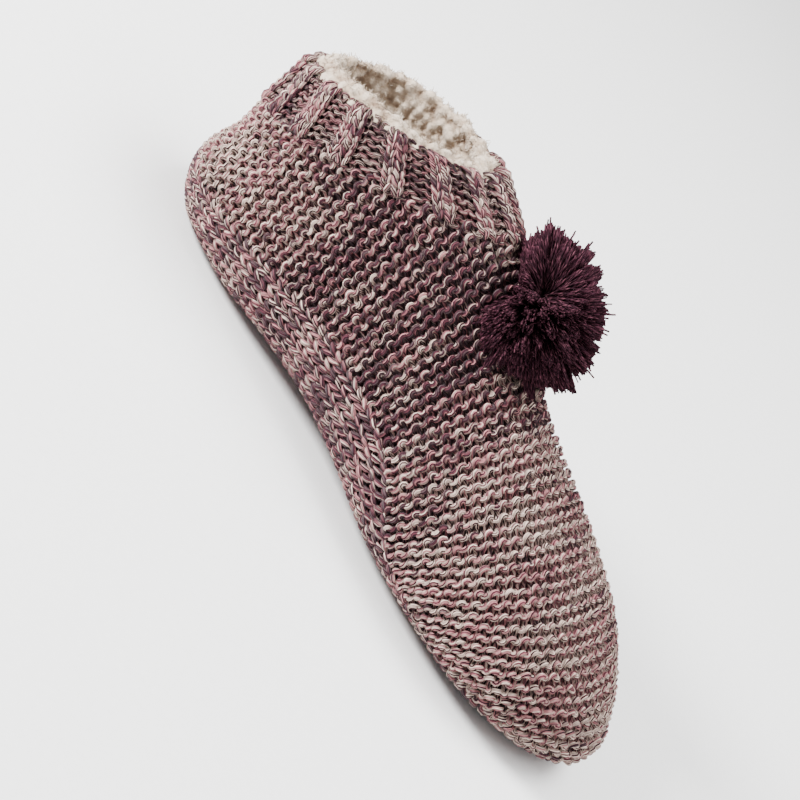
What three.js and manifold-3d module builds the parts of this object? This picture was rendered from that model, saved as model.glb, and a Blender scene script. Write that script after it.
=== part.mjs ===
// A knitted slipper sock, empty and standing flat on its sole, as a foot has shaped it.
// Its pieces are a garter-stitch upper, a smooth-knit sole that closes it underneath and comes up its
// sides, a ribbed cuff round the collar, and a yarn pompom on the instep.
// Lengths are in millimetres. X runs from heel to toe, Y to the left and Z up, and the origin is on the
// floor under the middle of the sock. Both halves are alike, so it fits either foot.
import * as THREE from "three";
import { mergeVertices } from "three/addons/utils/BufferGeometryUtils.js";
import Module from "manifold-3d";

const wasm = await Module();
wasm.setup();

// Outside sizes of the shaped sock
const footLength = 250;
const heelWidth = 70;
const waistWidth = 74;
const ballWidth = 94;
const collarWidth = 67;
const collarBackHeight = 68;
const collarFrontHeight = 97;
const instepHeight = 66;
const toeHeight = 45;
const archHeight = 4;
const toeSpring = 1.2;
const floorSink = 0.6; // how far the soft sole is pressed flat at the heel and the ball

// Knitting
const upperWall = 3;
const soleWall = 3.4;
const cuffWall = 3.2;
const ribCount = 14;
const ribRise = 1.3;
const joinGap = 0.3; // between two pieces that are sewn edge to edge

// The sole's band on the sides: its height under the arch
const bandHeight = 31;

// Pompom
const pompomWidth = 60;
const pompomHeight = 26;
const pompomPlace = 0.455; // along the foot, as a share of its length
const lockCount = 64;
const lockWidth = 13; // at its root
const lockReach = 4; // how far a lock stands out of the ball

// How finely the surfaces are drawn
const outerSides = 48;
const innerSides = 28;
const outerRings = 40;
const innerRings = 24;
const cuffSides = ribCount * 6;
const cuffRings = 3;

// Each section is a closed loop in a plane that holds the Y direction. It runs from a point of the back
// and sole line to a point of the instep line, and the planes turn like a fan round the ankle.
// back and front: [place along the foot, height] of those two points. width: across the loop.
// belly: where the loop is widest, as a share of the way from back to front.
// under, over: how square the two halves are, 2 being an ellipse.
const L = footLength;
const sections = [
  { name: "rim", back: [0.002 * L, collarBackHeight], width: collarWidth,
    front: [0.288 * L, collarFrontHeight], belly: 0.5, under: 2.0, over: 2.0 },
  { name: "cuff middle", back: [0.003 * L, 0.83 * collarBackHeight], width: 1.01 * collarWidth,
    front: [0.334 * L, 0.966 * collarFrontHeight], belly: 0.48, under: 2.0, over: 2.0 },
  { name: "cuff edge", back: [0.003 * L, 0.665 * collarBackHeight], width: 1.03 * collarWidth,
    front: [0.38 * L, 0.926 * collarFrontHeight], belly: 0.46, under: 2.05, over: 2.0 },
  { name: "above heel", back: [0.007 * L, 0.47 * collarBackHeight], width: 0.99 * heelWidth,
    front: [0.416 * L, 0.884 * collarFrontHeight], belly: 0.44, under: 2.1, over: 2.0 },
  { name: "heel back", back: [0, 0.27 * collarBackHeight], width: heelWidth,
    front: [0.448 * L, 0.84 * collarFrontHeight], belly: 0.41, under: 2.2, over: 2.05 },
  { name: "heel curve", back: [0.014 * L, 0.11 * collarBackHeight], width: heelWidth,
    front: [0.476 * L, 1.18 * instepHeight], belly: 0.37, under: 2.35, over: 2.1 },
  { name: "heel corner", back: [0.05 * L, 0.012 * collarBackHeight], width: heelWidth,
    front: [0.5 * L, 1.135 * instepHeight], belly: 0.34, under: 2.6, over: 2.1 },
  { name: "heel seat", back: [0.1 * L, -floorSink], width: 1.01 * heelWidth,
    front: [0.524 * L, 1.09 * instepHeight], belly: 0.31, under: 2.9, over: 2.15 },
  { name: "heel front", back: [0.18 * L, -floorSink], width: 0.97 * waistWidth,
    front: [0.548 * L, 1.045 * instepHeight], belly: 0.3, under: 3.0, over: 2.15 },
  { name: "arch rear", back: [0.28 * L, 0.6 * archHeight], width: 0.98 * waistWidth,
    front: [0.572 * L, instepHeight], belly: 0.3, under: 2.9, over: 2.2 },
  { name: "arch", back: [0.38 * L, archHeight], width: waistWidth,
    front: [0.6 * L, 0.96 * instepHeight], belly: 0.3, under: 2.8, over: 2.2 },
  { name: "arch front", back: [0.48 * L, 0.7 * archHeight], width: 0.86 * ballWidth,
    front: [0.64 * L, 0.906 * instepHeight], belly: 0.3, under: 2.8, over: 2.25 },
  { name: "ball rear", back: [0.6 * L, -0.6 * floorSink], width: 0.95 * ballWidth,
    front: [0.688 * L, 0.842 * instepHeight], belly: 0.32, under: 3.0, over: 2.3 },
  { name: "ball", back: [0.7 * L, -floorSink], width: ballWidth,
    front: [0.744 * L, 1.131 * toeHeight], belly: 0.35, under: 3.0, over: 2.35 },
  { name: "toe joints", back: [0.8 * L, -0.6 * floorSink], width: 0.975 * ballWidth,
    front: [0.812 * L, toeHeight], belly: 0.38, under: 2.8, over: 2.4 },
  { name: "toes rear", back: [0.86 * L, 0.2 * toeSpring], width: 0.9 * ballWidth,
    front: [0.86 * L, 0.9 * toeHeight], belly: 0.4, under: 2.6, over: 2.4 },
  { name: "toes", back: [0.912 * L, toeSpring], width: 0.755 * ballWidth,
    front: [0.904 * L, 0.784 * toeHeight], belly: 0.42, under: 2.4, over: 2.3 },
  { name: "toe front", back: [0.952 * L, 2.2 * toeSpring], width: 0.575 * ballWidth,
    front: [0.946 * L, 0.644 * toeHeight], belly: 0.44, under: 2.2, over: 2.2 },
  { name: "toe end", back: [0.98 * L, 4.2 * toeSpring], width: 0.385 * ballWidth,
    front: [0.974 * L, 0.52 * toeHeight], belly: 0.47, under: 2.0, over: 2.1 },
  { name: "toe cap", back: [0.996 * L, 7.6 * toeSpring], width: 0.19 * ballWidth,
    front: [0.994 * L, 0.41 * toeHeight], belly: 0.5, under: 2.0, over: 2.0 },
  { name: "toe tip", back: [L, 0.305 * toeHeight], width: 0,
    front: [L, 0.305 * toeHeight], belly: 0.5, under: 2.0, over: 2.0 },
];
const cuffEdge = sections.findIndex((row) => row.name === "cuff edge");

// Height of the join between sole and upper: [place along the foot, share of bandHeight]
const joinLine = [
  [-0.04, 0.5], [0.03, 0.53], [0.1, 0.6], [0.24, 0.83], [0.33, 0.97], [0.43, 1.0], [0.505, 0.95], [0.56, 0.82],
  [0.61, 0.58], [0.66, 0.38], [0.74, 0.29], [0.82, 0.25], [0.9, 0.235], [1.04, 0.24],
];

// Value of a smooth curve through evenly spaced values, at place i between them
function smoothValue(values, i) {
  const last = values.length - 1;
  const k = Math.min(Math.max(Math.floor(i), 0), last - 1);
  const f = i - k;
  const [b, c] = [values[k], values[k + 1]];
  const a = k > 0 ? values[k - 1] : 2 * b - c;
  const d = k < last - 1 ? values[k + 2] : 2 * c - b;
  if (f < 0) return b + (c - b) * f; // straight on above the rim
  return b + 0.5 * f * (c - a + f * (2 * a - 5 * b + 4 * c - d + f * (3 * (b - c) + d - a)));
}

const columns = {
  backX: sections.map((row) => row.back[0]),
  backZ: sections.map((row) => row.back[1]),
  frontX: sections.map((row) => row.front[0]),
  frontZ: sections.map((row) => row.front[1]),
  halfWidth: sections.map((row) => row.width / 2),
  belly: sections.map((row) => row.belly),
  under: sections.map((row) => row.under),
  over: sections.map((row) => row.over),
};

// Point of the sock's outer surface. place counts the sections from the rim, and turn is the angle round
// the loop, 0 on the instep line and PI on the back and sole line.
function outerPoint(place, turn) {
  const at = {};
  for (const key in columns) at[key] = smoothValue(columns[key], place);
  const along = Math.cos(turn);
  const aside = Math.sin(turn);
  const square = along < 0 ? at.under : at.over;
  const reach = Math.abs(along) ** (2 / square);
  const share = along < 0 ? at.belly * (1 - reach) : at.belly + (1 - at.belly) * reach;
  return new THREE.Vector3(
    at.backX + (at.frontX - at.backX) * share,
    at.halfWidth * Math.sign(aside) * Math.abs(aside) ** (2 / square),
    at.backZ + (at.frontZ - at.backZ) * share,
  );
}

// The outward direction there, from the surface a little way round and along
function outwardAt(place, turn) {
  const step = 0.03;
  const round = outerPoint(place, turn + step).sub(outerPoint(place, turn - step));
  const ahead = outerPoint(place + step, turn).sub(outerPoint(place - step, turn));
  return ahead.cross(round).normalize();
}

const surfacePoint = (place, turn, out) =>
  outerPoint(place, turn).addScaledVector(outwardAt(place, turn), out);

// A closed loft through rings of points, with a flat fan over its first ring and its last
function loftSolid(rings) {
  const sides = rings[0].length;
  const positions = [];
  const triangles = [];
  for (const ring of rings) for (const point of ring) positions.push(...point.toArray());
  for (let r = 0; r + 1 < rings.length; r++)
    for (let k = 0; k < sides; k++) {
      const [a, b] = [r * sides + k, r * sides + ((k + 1) % sides)];
      triangles.push(a, b + sides, b, a, a + sides, b + sides);
    }
  for (const [ring, start] of [[rings[0], 0], [rings.at(-1), (rings.length - 1) * sides]]) {
    const centre = ring.reduce((sum, p) => sum.add(p), new THREE.Vector3()).divideScalar(sides);
    const middle = positions.length / 3;
    positions.push(...centre.toArray());
    for (let k = 0; k < sides; k++) {
      const [a, b] = [start + k, start + ((k + 1) % sides)];
      triangles.push(...(start === 0 ? [middle, a, b] : [middle, b, a]));
    }
  }
  const geometry = new THREE.BufferGeometry();
  geometry.setAttribute("position", new THREE.Float32BufferAttribute(positions, 3));
  geometry.setIndex(triangles);
  return solidOf(geometry);
}

// The solid of a closed three.js geometry
function solidOf(geometry) {
  const bare = geometry.clone();
  bare.deleteAttribute("normal");
  bare.deleteAttribute("uv");
  const merged = mergeVertices(bare, 1e-4);
  return new wasm.Manifold(
    new wasm.Mesh({
      numProp: 3,
      vertProperties: merged.attributes.position.array,
      triVerts: new Uint32Array(merged.index.array),
    }),
  );
}

// A ring of points at one section. out is a length, or a function of the turn.
function ringAt(place, sides, out) {
  const reach = typeof out === "function" ? out : () => out;
  return Array.from({ length: sides }, (_, k) => {
    const turn = (2 * Math.PI * k) / sides;
    return surfacePoint(place, turn, reach(turn));
  });
}

// The sock's form from one section to the toe tip, moved out or in by a length
const toeEnd = sections.length - 1.07; // the last ring, just short of the tip
const footForm = (from, ringCount, sides, out) => bandForm(from, toeEnd, ringCount, sides, out);

// A stretch of the sock's form between two sections
function bandForm(from, to, ringCount, sides, out) {
  const rings = [];
  for (let r = 0; r <= ringCount; r++)
    rings.push(ringAt(from + ((to - from) * r) / ringCount, sides, out));
  return loftSolid(rings);
}

// All that lies under the join line, moved up or down by a length
function spaceUnderJoin(shift) {
  const line = new THREE.SplineCurve(
    joinLine.map(([x, share]) => new THREE.Vector2(x * L, share * bandHeight + shift)),
  ).getPoints(3 * joinLine.length);
  const depth = 2 * ballWidth;
  const outline = new THREE.Shape([
    ...line,
    new THREE.Vector2(1.04 * L, -bandHeight),
    new THREE.Vector2(-0.04 * L, -bandHeight),
  ]);
  const geometry = new THREE.ExtrudeGeometry(outline, { depth, bevelEnabled: false });
  geometry.rotateX(Math.PI / 2);
  geometry.translate(0, depth / 2, 0);
  return solidOf(geometry);
}

function floorSpace() {
  const geometry = new THREE.BoxGeometry(2 * L, 2 * ballWidth, bandHeight);
  geometry.translate(L / 2, 0, -bandHeight / 2);
  return solidOf(geometry);
}

// The knitted foot below the cuff, with its hollow. The hollow runs out through the collar.
const hollowFrom = cuffEdge - 0.6;
function knittedShell(wall) {
  const outside = footForm(cuffEdge, outerRings, outerSides, 0);
  return outside.subtract(footForm(hollowFrom, innerRings, innerSides, -wall));
}

function makeUpper() {
  return knittedShell(upperWall).subtract(spaceUnderJoin(joinGap / 2));
}

function makeSole() {
  return knittedShell(soleWall).intersect(spaceUnderJoin(-joinGap / 2)).subtract(floorSpace());
}

// Ribs of two knit stitches stand between hollows of two purl stitches, with a rib at the centre front.
const ribOut = (turn) => ribRise * (0.5 + 0.5 * Math.cos(ribCount * turn));
const cuffDepth = outerPoint(0, 0).distanceTo(outerPoint(cuffEdge, 0));
const cuffEnd = cuffEdge * (1 - joinGap / cuffDepth);
function makeCuff() {
  const outside = bandForm(0, cuffEnd, cuffRings, cuffSides, ribOut);
  const hollow = bandForm(-0.5, cuffEdge + 0.5, cuffRings + 2, innerSides, -cuffWall);
  return outside.subtract(hollow);
}

// Where the pompom is tied: the point of the instep line at pompomPlace
function pompomSeat() {
  let place = cuffEdge;
  while (outerPoint(place, 0).x < pompomPlace * L) place += 0.01;
  return { point: outerPoint(place, 0), outward: outwardAt(place, 0) };
}

// Points spread evenly over a ball, by the golden angle
function spreadDirection(k, count) {
  const height = 1 - (2 * k + 1) / count;
  const angle = k * Math.PI * (3 - Math.sqrt(5));
  const radius = Math.sqrt(1 - height * height);
  return new THREE.Vector3(radius * Math.cos(angle), radius * Math.sin(angle), height);
}

function makePompom() {
  const radius = pompomWidth / 2 - lockReach;
  const rise = 0.2 * pompomHeight; // from the instep to the middle of the ball
  const flatness = (pompomHeight - rise - lockReach) / radius;
  let ball = solidOf(new THREE.SphereGeometry(radius, 16, 10).scale(1, 1, flatness));
  for (let k = 0; k < lockCount; k++) {
    const way = spreadDirection(k, lockCount);
    const foot = way.clone().multiplyScalar(radius).multiply(new THREE.Vector3(1, 1, flatness));
    const reach = lockReach * (0.9 + 0.1 * Math.cos(5 * k));
    const lock = new THREE.ConeGeometry(lockWidth / 2, 2 * reach, 5);
    lock.applyQuaternion(new THREE.Quaternion().setFromUnitVectors(new THREE.Vector3(0, 1, 0), way));
    lock.translate(foot.x, foot.y, foot.z);
    ball = ball.add(solidOf(lock));
  }
  const { point, outward } = pompomSeat();
  const turn = new THREE.Quaternion().setFromUnitVectors(new THREE.Vector3(0, 0, 1), outward);
  const middle = point.clone().addScaledVector(outward, rise);
  const pose = new THREE.Matrix4().compose(middle, turn, new THREE.Vector3(1, 1, 1));
  const overRibs = (angle) => ribOut(angle) + 3 * joinGap;
  const cuffSpace = bandForm(-0.5, cuffEdge + 0.25, 3 * cuffRings, cuffSides, overRibs);
  return ball
    .transform(pose.elements)
    .subtract(footForm(hollowFrom, outerRings, outerSides, joinGap))
    .subtract(cuffSpace)
    .decompose()
    .sort((a, b) => b.volume() - a.volume())[0];
}

function meshOf(name, solid, material) {
  const { numProp, vertProperties, triVerts } = solid.getMesh();
  const positions = [];
  for (let v = 0; v < vertProperties.length; v += numProp)
    positions.push(vertProperties[v] - L / 2, vertProperties[v + 1], vertProperties[v + 2]);
  const geometry = new THREE.BufferGeometry();
  geometry.setAttribute("position", new THREE.Float32BufferAttribute(positions, 3));
  geometry.setIndex([...triVerts]);
  geometry.computeVertexNormals();
  const mesh = new THREE.Mesh(geometry, material);
  mesh.name = name;
  return mesh;
}

const yarn = (color) => new THREE.MeshStandardMaterial({ color, roughness: 0.95, metalness: 0 });

const sock = new THREE.Group();
sock.name = "slipper_sock";
sock.add(
  meshOf("upper", makeUpper(), yarn(0xa88c90)),
  meshOf("sole", makeSole(), yarn(0xb59a9b)),
  meshOf("cuff", makeCuff(), yarn(0xa0858a)),
  meshOf("pompom", makePompom(), yarn(0x44202f)),
);

export default sock;
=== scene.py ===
"""A knitted slipper sock: garter-stitch upper, smooth-knit sole, ribbed cuff, fleece lining and a pompom.
Shapes are worked out in millimetres in the frame of the CAD part and written to the meshes in metres.
Knitted pieces are made of yarn: every course is one tube that follows its stitches over the sock's form."""
import copy
import math

import bpy
import numpy as np
from mathutils import Matrix, Vector
from mathutils.bvhtree import BVHTree
from mathutils.kdtree import KDTree


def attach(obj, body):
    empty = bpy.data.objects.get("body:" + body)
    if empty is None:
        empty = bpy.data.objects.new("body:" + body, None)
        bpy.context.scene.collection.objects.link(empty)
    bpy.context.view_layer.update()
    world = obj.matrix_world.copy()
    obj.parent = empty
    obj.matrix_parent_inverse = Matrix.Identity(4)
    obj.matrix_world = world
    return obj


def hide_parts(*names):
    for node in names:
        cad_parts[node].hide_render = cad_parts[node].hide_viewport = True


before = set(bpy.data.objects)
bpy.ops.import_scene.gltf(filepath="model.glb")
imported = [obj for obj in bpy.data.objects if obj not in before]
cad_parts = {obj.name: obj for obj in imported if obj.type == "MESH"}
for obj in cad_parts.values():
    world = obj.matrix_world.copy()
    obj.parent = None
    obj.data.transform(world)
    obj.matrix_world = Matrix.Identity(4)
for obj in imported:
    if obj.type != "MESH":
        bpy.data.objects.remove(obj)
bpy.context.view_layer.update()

MM = 0.001
TAU = 2 * math.pi
GOLDEN = 0.618  # spreads the tones of courses evenly
FOOT = 250.0  # length of the sock
rng = np.random.default_rng(11)

# The sock's form
# Sections from the rim to the toe tip, as in the CAD part: back x and z, width, front x and z, belly,
# and how square the lower and the upper half are. x runs from the back of the heel.
BACK_X, BACK_Z, WIDTH, FRONT_X, FRONT_Z, BELLY, UNDER, OVER = range(8)
SECTIONS = np.array([
    (0.50, 68.00, 67.00, 72.0, 97.000, 0.50, 2.00, 2.00),
    (0.75, 56.44, 67.67, 83.5, 93.702, 0.48, 2.00, 2.00),
    (0.75, 45.22, 69.01, 95.0, 89.822, 0.46, 2.05, 2.00),
    (1.75, 31.96, 69.30, 104.0, 85.748, 0.44, 2.10, 2.00),
    (0.00, 18.36, 70.00, 112.0, 81.480, 0.41, 2.20, 2.05),
    (3.50, 7.48, 70.00, 119.0, 77.880, 0.37, 2.35, 2.10),
    (12.5, 0.816, 70.00, 125.0, 74.910, 0.34, 2.60, 2.10),
    (25.0, -0.60, 70.70, 131.0, 71.940, 0.31, 2.90, 2.15),
    (45.0, -0.60, 71.78, 137.0, 68.970, 0.30, 3.00, 2.15),
    (70.0, 2.40, 72.52, 143.0, 66.000, 0.30, 2.90, 2.20),
    (95.0, 4.00, 74.00, 150.0, 63.360, 0.30, 2.80, 2.20),
    (120.0, 2.80, 80.84, 160.0, 59.796, 0.30, 2.80, 2.25),
    (150.0, -0.36, 89.30, 172.0, 55.572, 0.32, 3.00, 2.30),
    (175.0, -0.60, 94.00, 186.0, 50.895, 0.35, 3.00, 2.35),
    (200.0, -0.36, 91.65, 203.0, 45.000, 0.38, 2.80, 2.40),
    (215.0, 0.24, 84.60, 215.0, 40.500, 0.40, 2.60, 2.40),
    (228.0, 1.20, 70.97, 226.0, 35.280, 0.42, 2.40, 2.30),
    (238.0, 2.64, 54.05, 236.5, 28.980, 0.44, 2.20, 2.20),
    (245.0, 5.04, 36.19, 243.5, 23.400, 0.47, 2.00, 2.10),
    (249.0, 9.12, 17.86, 248.5, 18.450, 0.50, 2.00, 2.00),
    (250.0, 13.725, 0.0, 250.0, 13.725, 0.50, 2.00, 2.00),
])
TIP = len(SECTIONS) - 1
CUFF_EDGE = 2  # the section where the cuff ends
JOIN_LINE = np.array([  # x and height of the join between upper and sole
    (-10, 15.5), (7.5, 16.4), (25, 18.6), (60, 25.7), (82.5, 30.1), (107.5, 31.0), (126, 29.5), (140, 25.4),
    (152.5, 18.0), (165, 11.8), (185, 9.0), (205, 7.75), (225, 7.3), (260, 7.4),
])


def smooth_value(values, i):
    """Values of a smooth curve through evenly spaced values, at places i between them"""
    last = len(values) - 1
    k = np.clip(np.floor(i).astype(int), 0, last - 1)
    f = i - k
    b, c = values[k], values[k + 1]
    a = np.where(k > 0, values[np.maximum(k - 1, 0)], 2 * b - c)
    d = np.where(k < last - 1, values[np.minimum(k + 2, last)], 2 * c - b)
    curve = b + 0.5 * f * (c - a + f * (2 * a - 5 * b + 4 * c - d + f * (3 * (b - c) + d - a)))
    return np.where(f < 0, b + (c - b) * f, curve)


def fine_curve(points, steps=12):
    """A smooth curve through points, finely divided"""
    n = len(points)
    i = np.linspace(0, n - 1, (n - 1) * steps + 1)
    return np.stack([smooth_value(points[:, c], i) for c in range(points.shape[1])], -1)


FINE_JOIN = fine_curve(JOIN_LINE)


def outer_point(place, turn):
    """Points of the outer surface. place counts the sections, and turn is 0 on the instep line and pi on the
    sole line."""
    place, turn = np.broadcast_arrays(np.asarray(place, float), np.asarray(turn, float))
    section = [smooth_value(SECTIONS[:, c], place) for c in range(SECTIONS.shape[1])]
    along, aside = np.cos(turn), np.sin(turn)
    square = np.where(along < 0, section[UNDER], section[OVER])
    reach = np.abs(along) ** (2 / square)
    belly = section[BELLY]
    share = np.where(along < 0, belly * (1 - reach), belly + (1 - belly) * reach)
    x = section[BACK_X] + (section[FRONT_X] - section[BACK_X]) * share - FOOT / 2
    y = section[WIDTH] / 2 * np.sign(aside) * np.abs(aside) ** (2 / square)
    z = section[BACK_Z] + (section[FRONT_Z] - section[BACK_Z]) * share
    return np.stack([x, y, z], -1)


def unit(v):
    return v / np.maximum(np.linalg.norm(v, axis=-1, keepdims=True), 1e-9)


def outward_at(place, turn):
    step = 0.03
    around = outer_point(place, turn + step) - outer_point(place, turn - step)
    ahead = outer_point(np.asarray(place) + step, turn) - outer_point(np.asarray(place) - step, turn)
    return unit(np.cross(ahead, around))


def surface_at(place, turn, out):
    """Points at the distance out from the outer surface"""
    return outer_point(place, turn) + outward_at(place, turn) * np.asarray(out)[..., None]


def join_height(x):
    """Height of the join line at x in the part's frame"""
    return np.interp(x + FOOT / 2, FINE_JOIN[:, 0], FINE_JOIN[:, 1])


def cuff_side(p):
    """How far points are above the plane of the cuff's lower edge"""
    x0, z0, x1, z1 = SECTIONS[CUFF_EDGE, [BACK_X, BACK_Z, FRONT_X, FRONT_Z]]
    slope = (z1 - z0) / (x1 - x0)
    return (p[..., 2] - z0 - (p[..., 0] + FOOT / 2 - x0) * slope) / math.hypot(1, slope)


def grid_quads(rows, columns):
    """Quads of a grid of points, closed round the columns"""
    r, c = (g.ravel() for g in np.meshgrid(np.arange(rows - 1), np.arange(columns), indexing="ij"))
    d = (c + 1) % columns
    return np.stack([r * columns + c, r * columns + d, (r + 1) * columns + d, (r + 1) * columns + c], -1)


def make_skin():
    """The outer surface as a search tree"""
    place = np.concatenate([np.linspace(-0.5, TIP - 1, 340), TIP - 1 + np.linspace(0.03, 0.99, 26)])
    turn = np.arange(200) * TAU / 200
    points = outer_point(place[:, None], turn[None, :]).reshape(-1, 3)
    points = np.vstack([points, outer_point(TIP, 0.0)[None]])
    quads = grid_quads(len(place), len(turn)).tolist()
    first, tip = (len(place) - 1) * len(turn), len(points) - 1
    quads += [(first + k, first + (k + 1) % len(turn), tip) for k in range(len(turn))]
    return BVHTree.FromPolygons(points.tolist(), quads)


SKIN = make_skin()
SKIN_SIGN = 1.0 if SKIN.find_nearest(Vector((0, 0, 200)))[1][2] > 0 else -1.0  # 1 if its normals point out

# Meshes and yarn
PRESSED = 0.6  # height over the floor in which the yarn is pressed flat


def new_piece(name, points, quads, tris=(), uv=None, values=None):
    """A smooth-shaded object from points in millimetres. values: numbers by point, under their names."""
    quads = np.asarray(quads, np.int32).reshape(-1, 4)
    tris = np.asarray(tris, np.int32).reshape(-1, 3)
    mesh = bpy.data.meshes.new(name)
    mesh.vertices.add(len(points))
    mesh.vertices.foreach_set("co", (np.asarray(points) * MM).astype(np.float32).ravel())
    loops = np.concatenate([quads.ravel(), tris.ravel()])
    mesh.loops.add(len(loops))
    mesh.loops.foreach_set("vertex_index", loops)
    starts = np.concatenate([np.arange(len(quads)) * 4, len(quads) * 4 + np.arange(len(tris)) * 3])
    mesh.polygons.add(len(starts))
    mesh.polygons.foreach_set("loop_start", starts.astype(np.int32))
    mesh.update(calc_edges=True)
    mesh.shade_smooth()
    if uv is not None:
        mesh.uv_layers.new(name="yarn").data.foreach_set("uv", np.asarray(uv, np.float32).ravel())
    for key, value in (values or {}).items():
        layer = mesh.attributes.new(key, "FLOAT", "POINT")
        layer.data.foreach_set("value", np.asarray(value, np.float32))
    piece = bpy.data.objects.new(name, mesh)
    bpy.context.scene.collection.objects.link(piece)
    return piece


class Yarns:
    """Collects tubes of yarn and joins them into one mesh"""

    def __init__(self, sides):
        self.sides = sides
        self.points, self.quads, self.tris, self.uv, self.tri_uv = [], [], [], [], []
        self.tone, self.lift, self.mood = [], [], []
        self.count = 0

    def add(self, centre, normal, radius, tone, closed=False, flat=1.0, start=0.0, lift=1.0, mood=0.0):
        """One tube round the points centre. normal: outward direction, and flat its thickness there. start:
        place on the yarn where it begins. lift: 1 on top of the fabric, 0 underneath, where the material
        paints shade.
        mood: how much more of the dark blend it has, which on the upper also paints shade and light by course."""
        n, k = len(centre), self.sides
        if closed:
            ahead = np.roll(centre, -1, 0) - np.roll(centre, 1, 0)
        else:
            ahead = np.gradient(centre, axis=0)
        ahead = unit(ahead)
        up = unit(normal - ahead * (normal * ahead).sum(-1, keepdims=True))
        side = np.cross(ahead, up)
        angle = (np.arange(k) * TAU / k)[None, :, None]
        radius = np.broadcast_to(np.asarray(radius, float), (n,))[:, None, None]
        ring = up[:, None] * np.cos(angle) * flat + side[:, None] * np.sin(angle)
        points = centre[:, None] + radius * ring
        step = np.linalg.norm(np.diff(centre, axis=0, append=centre[:1]), axis=1)
        u = start + np.concatenate([[0], np.cumsum(step)])
        rows = n if closed else n - 1
        r, c = (g.ravel() for g in np.meshgrid(np.arange(rows), np.arange(k), indexing="ij"))
        r2, c2 = (r + 1) % n, (c + 1) % k
        quads = np.stack([r * k + c, r2 * k + c, r2 * k + c2, r * k + c2], -1)
        uv = np.stack([
            np.stack([u[r], c / k], -1), np.stack([u[r + 1], c / k], -1),
            np.stack([u[r + 1], (c + 1) / k], -1), np.stack([u[r], (c + 1) / k], -1),
        ], 1)
        self.points.append(points.reshape(-1, 3))
        self.quads.append(quads + self.count)
        self.uv.append(uv.reshape(-1, 2))
        if not closed:
            fan = np.array([(0, j, j + 1) for j in range(1, k - 1)])
            caps = np.concatenate([fan, fan[:, ::-1] + (n - 1) * k])
            self.tris.append(caps + self.count)
            cap_u = np.where(caps < k, u[0], u[n - 1])
            self.tri_uv.append(np.stack([cap_u, (caps % k) / k], -1).reshape(-1, 2))
        self.tone.append(np.full(n * k, tone))
        self.lift.append(np.repeat(np.broadcast_to(lift, (n,)), k))
        self.mood.append(np.full(n * k, mood))
        self.count += n * k

    def make(self, name, floor=None):
        """Joins the tubes into a piece, pressed flat where it stands if floor, a height, is given"""
        points = np.vstack(self.points)
        if floor is not None:
            above = points[:, 2] - floor - PRESSED
            squeezed = floor + 0.6 * PRESSED * np.exp(np.minimum(above, 0) / PRESSED)
            points[:, 2] = np.where(above < 0, squeezed, points[:, 2])
        uv = np.vstack(self.uv + self.tri_uv)
        tris = np.vstack(self.tris) if self.tris else ()
        values = {key: np.concatenate(getattr(self, key)) for key in ("tone", "lift", "mood")}
        return new_piece(name, points, np.vstack(self.quads), tris, uv, values)


# Lines on the sock's surface
USUAL_PITCH = 3.7  # between courses, where no neighbour tells it


def blur(values, sigma):
    """values smoothed along the first axis by a bell curve sigma samples wide"""
    half = max(1, int(3 * sigma))
    kernel = np.exp(-0.5 * (np.arange(-half, half + 1) / sigma) ** 2)
    kernel /= kernel.sum()
    before, after = 2 * values[:1] - values[half:0:-1], 2 * values[-1:] - values[-2:-half - 2:-1]
    padded = np.concatenate([before, values, after])
    return np.stack([np.convolve(padded[:, c], kernel, "valid") for c in range(values.shape[1])], -1)


class Line:
    """A line on the sock's surface, at even steps s, with its outward and across directions. zero: the s from
    which its stitches count. pitch: distance to the next course."""

    STEP = 0.5

    def __init__(self, points, normals, ahead):
        """ahead: the side to which the across directions point"""
        length = np.concatenate([[0], np.cumsum(np.linalg.norm(np.diff(points, axis=0), axis=1))])
        self.length = length[-1]
        count = max(6, int(self.length / self.STEP) + 1)
        self.s = np.linspace(0, self.length, count)
        even = np.stack([np.interp(self.s, length, points[:, c]) for c in range(3)], -1)
        out = np.stack([np.interp(self.s, length, normals[:, c]) for c in range(3)], -1)
        if count > 16:
            even, out = blur(even, min(2.0, count / 8)), blur(out, min(4.0, count / 8))
        self.points, self.out = even, unit(out)
        across = unit(np.cross(unit(np.gradient(even, axis=0)), self.out))
        self.across = across * (np.sign((across @ ahead).mean()) or 1.0)
        self.zero = 0.0
        self.pitch = np.full(count, USUAL_PITCH)

    def pitch_to(self, *planes):
        """Distance on the surface to the neighbouring courses, which lie in planes, averaged"""
        found = []
        for normal, offset in planes:
            slant = np.maximum(np.abs(self.across @ normal), 0.3)
            found.append(np.abs(self.points @ normal - offset) / slant)
        return np.mean(found, 0) if found else self.pitch

    def at(self, s, values):
        s = np.clip(s, 0, self.length)
        if values.ndim == 1:
            return np.interp(s, self.s, values)
        return np.stack([np.interp(s, self.s, values[:, c]) for c in range(values.shape[1])], -1)


def cut_line(line, start, end):
    """The stretch of a line between two lengths"""
    made = copy.copy(line)
    keep = (line.s >= start - 1e-6) & (line.s <= end + 1e-6)
    made.s = line.s[keep] - line.s[keep][0]
    made.length = made.s[-1]
    made.points, made.out, made.across = line.points[keep], line.out[keep], line.across[keep]
    shares = np.linspace(start, end, len(made.s)) / line.length
    made.pitch = np.interp(shares, np.linspace(0, 1, len(line.pitch)), line.pitch)
    return made


def cast(origin, first, second, angles):
    """Points and normals of the outer surface round origin, in a plane. NaN where there is none."""
    points = np.full((len(angles), 3), np.nan)
    normals = np.full((len(angles), 3), np.nan)
    for k, angle in enumerate(angles):
        ray = first * math.cos(angle) + second * math.sin(angle)
        hit, normal, _, _ = SKIN.ray_cast(Vector(origin), Vector(ray))
        if hit is not None:
            n = np.array(normal)
            points[k] = hit
            normals[k] = n if n @ ray > 0 else -n
    return points, normals


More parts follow.
